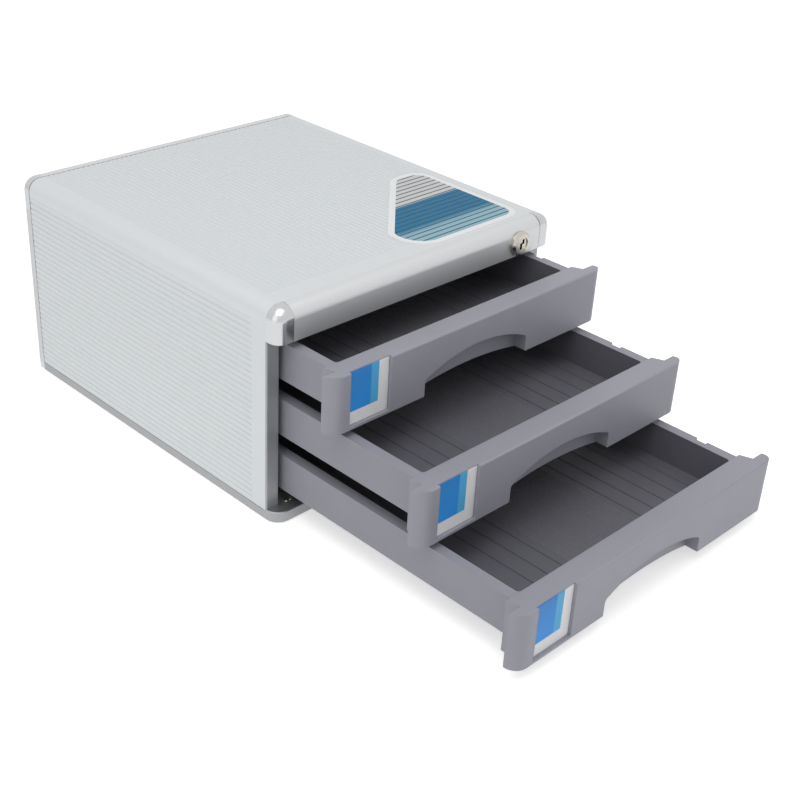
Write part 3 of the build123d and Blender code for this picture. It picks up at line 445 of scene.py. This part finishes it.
class Recipe:
    """A Geometry Nodes tree with named inputs, ending in realised, painted geometry."""

    def __init__(self, name):
        self.tree = bpy.data.node_groups.new(name, "GeometryNodeTree")
        self.values = {}
        self.tree.interface.new_socket("Geometry", in_out="INPUT", socket_type="NodeSocketGeometry")
        self.tree.interface.new_socket("Geometry", in_out="OUTPUT", socket_type="NodeSocketGeometry")
        self.start = self.tree.nodes.new("NodeGroupInput")

    def input(self, name, kind, value):
        socket = self.tree.interface.new_socket(name, in_out="INPUT", socket_type=kind)
        self.values[socket.identifier] = value
        return self.start.outputs[name]

    def node(self, kind, settings=None, **inputs):
        made = self.tree.nodes.new(kind)
        for name, value in (settings or {}).items():
            setattr(made, name, value)
        for name, value in inputs.items():
            self.feed(made.inputs[name.replace("_", " ")], value)
        return made

    def feed(self, socket, value):
        if isinstance(value, bpy.types.NodeSocket):
            self.tree.links.new(value, socket)
        else:
            socket.default_value = value

    def calculate(self, operation, first, second):
        made = self.node("ShaderNodeMath", {"operation": operation})
        self.feed(made.inputs[0], first)
        self.feed(made.inputs[1], second)
        return made.outputs[0]

    def vector(self, x=0.0, y=0.0, z=0.0):
        return self.node("ShaderNodeCombineXYZ", X=x, Y=y, Z=z).outputs["Vector"]

    def move(self, geometry, **inputs):
        return self.node("GeometryNodeTransform", Geometry=geometry, **inputs).outputs[0]

    def join(self, *parts):
        joined = self.node("GeometryNodeJoinGeometry")
        for part in parts:
            self.tree.links.new(part, joined.inputs[0])
        return joined.outputs[0]

    def finish(self, geometry, material):
        real = self.node("GeometryNodeRealizeInstances", Geometry=geometry).outputs[0]
        painted = self.node("GeometryNodeSetMaterial", Geometry=real)
        painted.inputs["Material"].default_value = material
        end = self.tree.nodes.new("NodeGroupOutput")
        self.tree.links.new(painted.outputs[0], end.inputs[0])

    def run(self, name, points):
        """The tree's result on a mesh of points, as a plain mesh."""
        source = bpy.data.meshes.new(name + "_points")
        source.from_pydata(points, [], [])
        carrier = bpy.data.objects.new(name + "_points", source)
        bpy.context.scene.collection.objects.link(carrier)
        modifier = carrier.modifiers.new("Recipe", "NODES")
        modifier.node_group = self.tree
        for identifier, value in self.values.items():
            modifier[identifier] = value
        shown = carrier.evaluated_get(bpy.context.evaluated_depsgraph_get())
        mesh = bpy.data.meshes.new_from_object(shown)
        mesh.name = name
        carrier.modifiers.remove(modifier)
        bpy.data.objects.remove(carrier)
        bpy.data.meshes.remove(source)
        if not mesh.polygons:
            raise RuntimeError(f"{name}: the recipe gave no faces")
        return mesh


def turn_towards(direction):
    """Euler angles that turn +Z towards a direction."""
    return Vector(direction).to_track_quat("Z", "Y").to_euler()


def screw_recipe(form, radius, height, shank, reach, direction, material):
    """Pan head screw with a cross recess, on every point, its head's top at the point."""
    recipe = Recipe("Screws")
    head = recipe.input("Head radius", "NodeSocketFloat", radius)
    tall = recipe.input("Head height", "NodeSocketFloat", height)
    thin = recipe.input("Shank radius", "NodeSocketFloat", shank)
    deep = recipe.input("Shank length", "NodeSocketFloat", reach)
    wide = recipe.input("Recess width", "NodeSocketFloat", form.recess_width)
    far = recipe.input("Recess reach", "NodeSocketFloat", form.recess_reach)
    sunk = recipe.input("Recess depth", "NodeSocketFloat", form.recess_depth)
    sides = recipe.input("Sides", "NodeSocketInt", form.sides)
    lower = recipe.calculate("MULTIPLY", tall, form.rim)
    upper = recipe.calculate("MULTIPLY", tall, 1.0 - form.rim)
    disc = recipe.node("GeometryNodeMeshCone", Vertices=sides, Radius_Top=head,
                       Radius_Bottom=head, Depth=lower).outputs["Mesh"]
    disc = recipe.move(disc, Translation=recipe.vector(z=recipe.calculate("MULTIPLY", tall, -1.0)))
    crown = recipe.node("GeometryNodeMeshCone", Vertices=sides,
                        Radius_Top=recipe.calculate("MULTIPLY", head, form.crown),
                        Radius_Bottom=head, Depth=upper).outputs["Mesh"]
    crown = recipe.move(crown, Translation=recipe.vector(z=recipe.calculate("MULTIPLY", upper, -1.0)))
    bar_wide = recipe.calculate("MULTIPLY", head, wide)
    bar_long = recipe.calculate("MULTIPLY", recipe.calculate("MULTIPLY", head, far), 2.0)
    bar_deep = recipe.calculate("MULTIPLY", recipe.calculate("MULTIPLY", tall, sunk), 2.0)
    first = recipe.node("GeometryNodeMeshCube",
                        Size=recipe.vector(bar_wide, bar_long, bar_deep)).outputs["Mesh"]
    second = recipe.node("GeometryNodeMeshCube",
                         Size=recipe.vector(bar_long, bar_wide, bar_deep)).outputs["Mesh"]
    cut = recipe.node("GeometryNodeMeshBoolean", {"operation": "DIFFERENCE"})
    recipe.tree.links.new(crown, cut.inputs[0])
    for bar in (first, second):
        recipe.tree.links.new(bar, cut.inputs[1])
    rod = recipe.node("GeometryNodeMeshCone", Vertices=sides, Radius_Top=thin,
                      Radius_Bottom=recipe.calculate("MULTIPLY", thin, form.tip),
                      Depth=deep).outputs["Mesh"]
    below = recipe.calculate("MULTIPLY", recipe.calculate("ADD", tall, deep), -1.0)
    rod = recipe.move(rod, Translation=recipe.vector(z=below))
    screw = recipe.join(disc, cut.outputs["Mesh"], rod)
    screw = recipe.move(screw, Rotation=turn_towards(direction))
    placed = recipe.node("GeometryNodeInstanceOnPoints",
                         Points=recipe.start.outputs["Geometry"], Instance=screw)
    recipe.finish(placed.outputs["Instances"], material)
    return recipe


def rib_recipe(pitch, height, count, reach, material):
    """Low half-round ribs side by side along X from every point, each running along Y."""
    recipe = Recipe("Floor ribs")
    step = recipe.input("Pitch", "NodeSocketFloat", pitch)
    rise = recipe.input("Height", "NodeSocketFloat", height)
    number = recipe.input("Count", "NodeSocketInt", count)
    run = recipe.input("Length", "NodeSocketFloat", reach)
    line = recipe.node("GeometryNodeCurvePrimitiveLine",
                       End=recipe.vector(y=run)).outputs["Curve"]
    radius = recipe.calculate("MULTIPLY", step, RIB_RADIUS)
    circle = recipe.node("GeometryNodeCurvePrimitiveCircle", Resolution=8,
                         Radius=radius).outputs["Curve"]
    flat = recipe.move(circle, Scale=recipe.vector(1.0, recipe.calculate("DIVIDE", rise, radius), 1.0))
    rib = recipe.node("GeometryNodeCurveToMesh", Curve=line, Profile_Curve=flat,
                      Fill_Caps=True).outputs["Mesh"]
    row = recipe.node("GeometryNodeMeshLine", {"mode": "OFFSET"}, Count=number,
                      Offset=recipe.vector(x=step)).outputs["Mesh"]
    ribs = recipe.node("GeometryNodeInstanceOnPoints", Points=row, Instance=rib)
    placed = recipe.node("GeometryNodeInstanceOnPoints",
                         Points=recipe.start.outputs["Geometry"], Instance=ribs.outputs["Instances"])
    recipe.finish(placed.outputs["Instances"], material)
    return recipe


# ------------------------------------------------------------------ operators


class CABINET_OT_case(Operator):
    """Give the panels, rails, posts, caps, back and feet their finishes"""
    bl_idname = "cabinet.case"
    bl_label = "Case finishes"

    def execute(self, context):
        look = context.scene.cabinet_case
        for name, axis in (("top_panel", "X"), ("left_side_panel", "Z"), ("right_side_panel", "Z")):
            low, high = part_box(name)
            index = "XYZ".index(axis)
            dress([name], ribbed("Ribbed " + name, look, axis, (low[index] + high[index]) / 2))
        satin = look.rail_roughness
        # name, colour, metallic, roughness, drawn lines, contrast, nodes
        metals = (
            ("Corner aluminium", look.shell, 0.3, look.shell_roughness, LINES_ALONG_Y, 0.015,
             ("left_corner_profile", "right_corner_profile")),
            ("Satin rail", look.rail, 0.75, satin, LINES_ALONG_X, 0.03,
             ("front_top_rail", "rear_base_rail", "rear_top_trim")),
            ("Satin side rail", look.side, 0.1, 0.5, LINES_ALONG_Y, 0.03,
             ("left_base_rail", "right_base_rail")),
            ("Brushed post", look.post, 0.45, 0.42, LINES_ALONG_Z, 0.10,
             ("left_front_post", "right_front_post")),
            ("Satin trim", look.rail, 0.3, satin, LINES_ALONG_Z, 0.03,
             ("rear_left_trim", "rear_right_trim")),
            ("Brushed base rail", look.base, 0.75, 0.3, LINES_ALONG_X, 0.05, ("front_base_rail",)),
        )
        for name, tint, metallic, roughness, lines, contrast, nodes in metals:
            dress(nodes, drawn_metal(name, tint, metallic, roughness, lines, contrast))
        dress(["front_top_left_cap", "front_top_right_cap", "rear_left_cap", "rear_right_cap"],
              plated("Silver cap", look.cap, look.cap_roughness, 0.9))
        dress(["rear_panel", "base_plate"], powder_coat("Powder coated sheet", look.sheet))
        dress(["left_runner_panel", "right_runner_panel"],
              moulded("Runner plastic", look.runner, 0.0008))
        dress(["rubber_feet"], rubber("Foot rubber", look.rubber))
        return {"FINISHED"}


class CABINET_OT_drawers(Operator):
    """Give the drawer fronts, trays and label windows their finishes"""
    bl_idname = "cabinet.drawers"
    bl_label = "Drawer finishes"

    def execute(self, context):
        look = context.scene.cabinet_drawer
        fronts = moulded("Front plastic", look.front, look.grain)
        window = clear_plastic("Clear window")
        for name in DRAWERS:
            dress([f"{name}_drawer_front"], fronts)
            dress([f"{name}_drawer_tray"], tray_plastic(name, look))
            dress([f"{name}_label_window"], window)
        return {"FINISHED"}


def tray_plastic(name, look):
    """Moulded tray, darker on its floor and inner walls."""
    finish = Finish(f"{name} tray plastic", look.tray, Roughness=MOULDED_ROUGHNESS)
    low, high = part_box(f"{name}_drawer_tray")
    pebbles = finish.noise(1.0 / look.grain, detail=2.0)
    cloud = finish.noise(18.0, detail=4.0, roughness=0.6)
    outer = finish.mottle(cloud, look.tray, 0.965, 1.03)
    inner = finish.mottle(cloud, look.inside, 0.93, 1.06)
    place = finish.axes()
    between = finish.inside(place["X"], -TRAY_INSIDE, TRAY_INSIDE)
    within = finish.inside(place["Z"], low[2] + look.floor / 2, high[2] - TRAY_LIP)
    finish.paint(finish.lay(outer, inner, finish.maths("MULTIPLY", between, within)))
    finish.rough(pebbles, 0.38, 0.54)
    finish.bump(pebbles, 0.22, 0.00006)
    return finish.material


class CABINET_OT_tray_ribs(Operator):
    """Run fine ribs along the middle of each tray floor"""
    bl_idname = "cabinet.tray_ribs"
    bl_label = "Fine floor ribs"

    end_gap = 8.0 * MM

    def execute(self, context):
        look = context.scene.cabinet_drawer
        material = moulded("Rib plastic", look.ribs, look.grain)
        count = int(2 * look.rib_zone // look.rib_pitch) + 1
        for name in DRAWERS:
            low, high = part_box(f"{name}_drawer_tray")
            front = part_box(f"{name}_drawer_front")[1][1] + self.end_gap
            reach = high[1] - self.end_gap - front
            recipe = rib_recipe(look.rib_pitch, look.rib_height, count, reach, material)
            floor = low[2] + look.floor
            start = (-(count - 1) * look.rib_pitch / 2, front, floor)
            mesh = recipe.run(f"{name}_floor_ribs", [start])
            add_object(f"{name}_floor_ribs", mesh, f"{name}_drawer")
        return {"FINISHED"}


class CABINET_OT_lock(Operator):
    """Give the lock, its bar and the tray studs their finishes"""
    bl_idname = "cabinet.lock"
    bl_label = "Lock finishes"

    def execute(self, context):
        look = context.scene.cabinet_lock
        dress(["lock_housing", "lock_nut"], plated("Nickel", look.nickel, 0.2))
        dress(["lock_plug"], plug_nickel(look))
        zinc = plated("Zinc plate", look.zinc, 0.3)
        dress(["lock_crank", "lock_bar", "lock_arm", "lock_teeth"], zinc)
        dress([f"{name}_lock_stud" for name in DRAWERS], zinc)
        return {"FINISHED"}


def plug_nickel(look):
    """Nickel with painted shade in its keyway: the slot is coloured near black, in place of the shadow
    inside it.
    """
    finish = Finish("Plug nickel", look.nickel, Metallic=1.0, Roughness=0.22)
    low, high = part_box("lock_plug")
    haze = finish.noise(260.0, detail=3.0)
    plain = finish.mottle(haze, look.nickel, 0.97, 1.02)
    place = finish.axes()
    middle = (low[0] + high[0]) / 2
    # Painted shade inside the keyway: near black and not metallic within the slot, in place of its shadow
    deep = finish.inside(place["Y"], low[1] + look.keyway_start, low[1] + look.keyway_end)
    near = finish.inside(place["X"], middle - look.keyway_reach, middle + look.keyway_reach)
    mask = finish.maths("MULTIPLY", deep, near)
    finish.paint(finish.lay(plain, look.keyway, mask))
    finish.link(finish.maths("SUBTRACT", 1.0, mask), finish.shader.inputs["Metallic"])
    finish.rough(haze, 0.18, 0.3)
    return finish.material


class CABINET_OT_screws(Operator):
    """Put cross recess screws at every screw of the cabinet"""
    bl_idname = "cabinet.screws"
    bl_label = "Screws"

    # node, body, direction; head radius, head height and shank radius in millimetres
    groups = (
        ("rear_screws", "case", (0, 1, 0), 3.0, 1.2, 1.5),
        ("foot_screws", "case", (0, 0, -1), 3.0, 1.2, 1.5),
        ("base_rail_screws", "case", (0, 0, 1), 1.8, 0.6, 1.0),
        ("bottom_front_screws", "bottom_drawer", (0, 1, 0), 3.0, 1.2, 1.5),
        ("middle_front_screws", "middle_drawer", (0, 1, 0), 3.0, 1.2, 1.5),
        ("top_front_screws", "top_drawer", (0, 1, 0), 3.0, 1.2, 1.5),
    )

    def execute(self, context):
        form = context.scene.cabinet_screw
        zinc = plated("Screw zinc", context.scene.cabinet_lock.zinc, 0.28)
        for node, body, direction, radius, height, shank in self.groups:
            heads, reach = screw_heads(node, Vector(direction), radius * MM)
            recipe = screw_recipe(form, radius * MM, height * MM, shank * MM,
                                  reach - height * MM, direction, zinc)
            mesh = recipe.run(node + "_crossed", heads)
            piece = add_object(node + "_crossed", mesh, body)
            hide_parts(node)
        return {"FINISHED"}


def screw_heads(node, direction, radius):
    """The middle of each head's outer face on a CAD node of screws, and a screw's length."""
    points = [vertex.co.copy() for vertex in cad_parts[node].data.vertices]
    top = max(point.dot(direction) for point in points)
    bottom = min(point.dot(direction) for point in points)
    rims = [point for point in points if top - point.dot(direction) < FLAT]
    groups = []
    for point in rims:
        for gathered in groups:
            if (gathered[0] - point).length < HEAD_SPREAD * radius:
                gathered.append(point)
                break
        else:
            groups.append([point])
    middles = []
    for gathered in groups:
        low = Vector([min(point[axis] for point in gathered) for axis in range(3)])
        high = Vector([max(point[axis] for point in gathered) for axis in range(3)])
        middles.append((low + high) / 2)
    return middles, top - bottom


class CABINET_OT_labels(Operator):
    """Print the fields of colour on the label cards"""
    bl_idname = "cabinet.labels"
    bl_label = "Label cards"

    def execute(self, context):
        material = card_print(context.scene.cabinet_label)
        for name in DRAWERS:
            low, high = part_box(f"{name}_label_card")
            mesh = mesh_from(f"{name}_card_print", lambda shape: card_slab(shape, low, high))
            piece = add_object(f"{name}_card_print", mesh, f"{name}_drawer", material)
            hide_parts(f"{name}_label_card")
        return {"FINISHED"}


def card_slab(shape, low, high):
    """A card with UVs over its face, left to right and bottom to top."""
    layer = shape.loops.layers.uv.new("Card")
    wide, tall = high[0] - low[0], high[2] - low[2]
    made = bmesh.ops.create_cube(shape, size=1.0)
    for vertex in made["verts"]:
        for axis in range(3):
            span = high[axis] - low[axis]
            vertex.co[axis] = low[axis] + (vertex.co[axis] + 0.5) * span
    bmesh.ops.bevel(shape, geom=shape.edges[:], offset=CARD_BEVEL, segments=2, affect="EDGES")
    for face in shape.faces:
        for loop in face.loops:
            place = loop.vert.co
            loop[layer].uv = ((place.x - low[0]) / wide, (place.z - low[2]) / tall)


def card_print(look):
    """A field of colour at the left of a pale card, with a lighter band beside it."""
    finish = Finish("Printed card", look.card, Roughness=0.5)
    place = finish.axes(layer="Card")
    across, up = place["X"], place["Y"]
    fibres = finish.noise(900.0, detail=4.0)
    card = finish.ramp(fibres, [(0.3, tuple(c * 0.96 for c in look.card)), (0.7, tuple(look.card))])
    field = finish.ramp(up, [(0.3, tuple(c * 1.25 for c in look.field)), (0.95, tuple(look.field))])
    height = finish.inside(up, look.bottom, PAST_EDGE)
    fields = ((-PAST_EDGE, look.field_end, field), (look.field_end, look.band_end, look.band))
    for start, end, tint in fields:
        card = finish.lay(card, tint, finish.maths("MULTIPLY", finish.inside(across, start, end), height))
    finish.paint(card)
    finish.rough(fibres, 0.42, 0.58)
    return finish.material


class CABINET_OT_sticker(Operator):
    """Print the zones and stripes of the sticker on the top"""
    bl_idname = "cabinet.sticker"
    bl_label = "Top sticker"

    rear_width = 36.0 * MM
    left_length = 36.0 * MM
    radii = (17.0 * MM, 17.0 * MM, 16.0 * MM, 16.0 * MM, 27.0 * MM)
    ink = 0.03 * MM
    least_radius = 1.0 * MM

    def execute(self, context):
        look = context.scene.cabinet_sticker
        low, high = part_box("top_sticker")
        corners = [(high[0], low[1]), (high[0], high[1]), (high[0] - self.rear_width, high[1]),
                   (low[0], low[1] + self.left_length), (low[0], low[1])]
        sheet = mesh_from("sticker_film", lambda shape: slab(
            shape, rounded_outline(corners, self.radii), low[2], high[2] - self.ink))
        film = Finish("Sticker film", look.film, Roughness=0.3)
        gloss = film.noise(140.0)
        film.tones(gloss, look.film, 0.98, 1.02)
        film.rough(gloss, 0.24, 0.38)
        piece = add_object("sticker_film", sheet, "case", film.material)
        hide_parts("top_sticker")
        inner = [tuple(point) for point in inset_corners(corners, look.border)]
        radii = [max(radius - look.border, self.least_radius) for radius in self.radii]
        inked = mesh_from("sticker_print", lambda shape: slab(
            shape, rounded_outline(inner, radii), high[2] - self.ink, high[2]))
        add_object("sticker_print", inked, "case", sticker_print(look, low, high))
        return {"FINISHED"}


def slab(shape, outline, bottom, top):
    """A flat plate with an outline in plan."""
    lower = [shape.verts.new((point[0], point[1], bottom)) for point in outline]
    upper = [shape.verts.new((point[0], point[1], top)) for point in outline]
    shape.faces.new(reversed(lower))
    shape.faces.new(upper)
    count = len(outline)
    for index in range(count):
        following = (index + 1) % count
        shape.faces.new((lower[index], lower[following], upper[following], upper[index]))


def sticker_print(look, low, high):
    """Pale, blue and pale blue zones from rear to front, under thin crossing stripes."""
    finish = Finish("Sticker print", look.deep, Roughness=0.42, Specular_IOR_Level=0.12)
    span = high[1] - low[1]
    place = finish.axes(scale=(1, 1 / span, 1), shift=(0, -low[1] / span, 0))
    zones = finish.ramp(place["Y"], [
        (0.0, look.pale), (look.pale_end, look.pale), (look.deep_start, look.deep),
        (look.deep_end, look.deep), (look.light_start, look.light), (1.0, look.light)])
    wave = finish.node("ShaderNodeTexWave", wave_type="BANDS", bands_direction="Y")
    finish.link(finish.place(), wave.inputs["Vector"])
    wave.inputs["Scale"].default_value = math.pi / (10 * look.stripe)
    thin = finish.ramp(wave.outputs["Fac"], [(0.07, (1, 1, 1)), (0.15, (0, 0, 0))])
    finish.paint(finish.lay(zones, look.line, thin))
    finish.rough(finish.noise(140.0), 0.36, 0.5)
    return finish.material


class CABINET_OT_studio(Operator):
    """Set the pale floor, the soft lamps, the surroundings and the camera"""
    bl_idname = "cabinet.studio"
    bl_label = "Studio"

    aim = (407.629 * MM, 241.611 * MM, -274.738 * MM)
    distance = 1781.441 * MM
    azimuth = math.radians(-46.410)
    elevation = math.radians(29.838)
    roll = math.radians(3.329)
    sensor = 36.0
    # name, setting of its power, place, aim, size, seen in reflections
    lamps = (
        ("Key lamp", "key", (-0.5, -0.4, 1.7), (0.0, -0.1, 0.1), 1.6, True),
        ("Fill lamp", "fill", (-1.6, -0.3, 0.7), (0.0, -0.1, 0.1), 1.2, True),
        ("Side lamp", "side", (1.1, -1.3, 0.6), (0.1, -0.2, 0.1), 0.9, False),
    )

    def execute(self, context):
        form = context.scene.cabinet_studio
        lay_floor(form)
        surround(context.scene, form)
        for name, power, place, aim, size, mirrored in self.lamps:
            lamp = area_lamp(name, place, aim, size, getattr(form, power))
            lamp.visible_glossy = mirrored
        self.place_camera(context.scene, form)
        context.scene.view_settings.view_transform = "Standard"
        return {"FINISHED"}

    def place_camera(self, scene, form):
        level = math.cos(self.elevation)
        back = Vector((math.sin(self.azimuth) * level, -math.cos(self.azimuth) * level,
                       math.sin(self.elevation)))
        right = (-back).cross(ALONG_Z).normalized()
        up = right.cross(-back)
        turned_right = right * math.cos(self.roll) + up * math.sin(self.roll)
        turned_up = up * math.cos(self.roll) - right * math.sin(self.roll)
        data = bpy.data.cameras.new("Camera")
        data.lens = form.lens
        data.sensor_width = self.sensor
        data.clip_start = 0.01
        camera = bpy.data.objects.new("Camera", data)
        scene.collection.objects.link(camera)
        rotation = Matrix((turned_right, turned_up, back)).transposed().to_4x4()
        camera.matrix_world = Matrix.Translation(Vector(self.aim) + back * self.distance) @ rotation
        scene.camera = camera


def lay_floor(form):
    mesh = mesh_from("Floor", lambda shape: bmesh.ops.create_grid(
        shape, x_segments=1, y_segments=1, size=FLOOR_SIZE))
    floor = bpy.data.objects.new("Floor", mesh)
    bpy.context.scene.collection.objects.link(floor)
    finish = Finish("Floor", form.floor, Roughness=0.9, Specular_IOR_Level=0.2)
    finish.tones(finish.noise(3.0), form.floor, 0.995, 1.005)
    finish.shader.inputs["Emission Color"].default_value = (1.0, 1.0, 1.0, 1.0)
    glow = finish.maths("MULTIPLY", seen_rays(finish.tree), form.glow)
    finish.link(glow, finish.shader.inputs["Emission Strength"])
    floor.data.materials.append(finish.material)


def seen_rays(tree):
    """1 for camera, glossy and transmitted rays, 0 for light that falls on the object."""
    path = tree.nodes.new("ShaderNodeLightPath")
    total = path.outputs["Is Camera Ray"]
    for name in ("Is Glossy Ray", "Is Transmission Ray"):
        either = tree.nodes.new("ShaderNodeMath")
        either.operation = "MAXIMUM"
        tree.links.new(total, either.inputs[0])
        tree.links.new(path.outputs[name], either.inputs[1])
        total = either.outputs[0]
    return total


def surround(scene, form):
    world = bpy.data.worlds.new("Studio")
    scene.world = world
    world.use_nodes = True
    tree = world.node_tree
    background = tree.nodes["Background"]
    background.inputs["Color"].default_value = (1.0, 1.0, 1.0, 1.0)
    strength = tree.nodes.new("ShaderNodeMapRange")
    strength.inputs["To Min"].default_value = form.ambient
    strength.inputs["To Max"].default_value = 1.0
    tree.links.new(seen_rays(tree), strength.inputs["Value"])
    tree.links.new(strength.outputs["Result"], background.inputs["Strength"])


def area_lamp(name, place, aim, size, power):
    data = bpy.data.lights.new(name, "AREA")
    data.shape = "SQUARE"
    data.size = size
    data.energy = power
    lamp = bpy.data.objects.new(name, data)
    bpy.context.scene.collection.objects.link(lamp)
    direction = Vector(aim) - Vector(place)
    lamp.matrix_world = Matrix.Translation(place) @ direction.to_track_quat("-Z", "Y").to_matrix().to_4x4()
    return lamp


# ------------------------------------------------------------------ panel and registration

GROUPS = (
    ("cabinet_case", CaseFinish),
    ("cabinet_drawer", DrawerFinish),
    ("cabinet_lock", LockFinish),
    ("cabinet_screw", ScrewForm),
    ("cabinet_label", LabelPrint),
    ("cabinet_sticker", StickerPrint),
    ("cabinet_studio", StudioForm),
)

OPERATORS = (
    CABINET_OT_case,
    CABINET_OT_drawers,
    CABINET_OT_tray_ribs,
    CABINET_OT_lock,
    CABINET_OT_screws,
    CABINET_OT_labels,
    CABINET_OT_sticker,
    CABINET_OT_studio,
)


class CABINET_PT_sidebar(Panel):
    """Sizes, colours and steps of the cabinet"""
    bl_idname = "CABINET_PT_sidebar"
    bl_label = "Desktop file drawer"
    bl_space_type = "VIEW_3D"
    bl_region_type = "UI"
    bl_category = "Cabinet"

    def draw(self, context):
        for name, group in GROUPS:
            box = self.layout.box()
            settings = getattr(context.scene, name)
            for key in group.__annotations__:
                box.prop(settings, key)
        for operator in OPERATORS:
            self.layout.operator(operator.bl_idname)


def register():
    for name, group in GROUPS:
        bpy.utils.register_class(group)
        setattr(bpy.types.Scene, name, PointerProperty(type=group))
    for operator in OPERATORS:
        bpy.utils.register_class(operator)
    bpy.utils.register_class(CABINET_PT_sidebar)


def unregister():
    bpy.utils.unregister_class(CABINET_PT_sidebar)
    for operator in reversed(OPERATORS):
        bpy.utils.unregister_class(operator)
    for name, group in reversed(GROUPS):
        delattr(bpy.types.Scene, name)
        bpy.utils.unregister_class(group)


def main():
    register()
    for operator in OPERATORS:
        group, action = operator.bl_idname.split(".")
        getattr(getattr(bpy.ops, group), action)()
    bpy.context.view_layer.update()


if __name__ == "__main__":
    main()
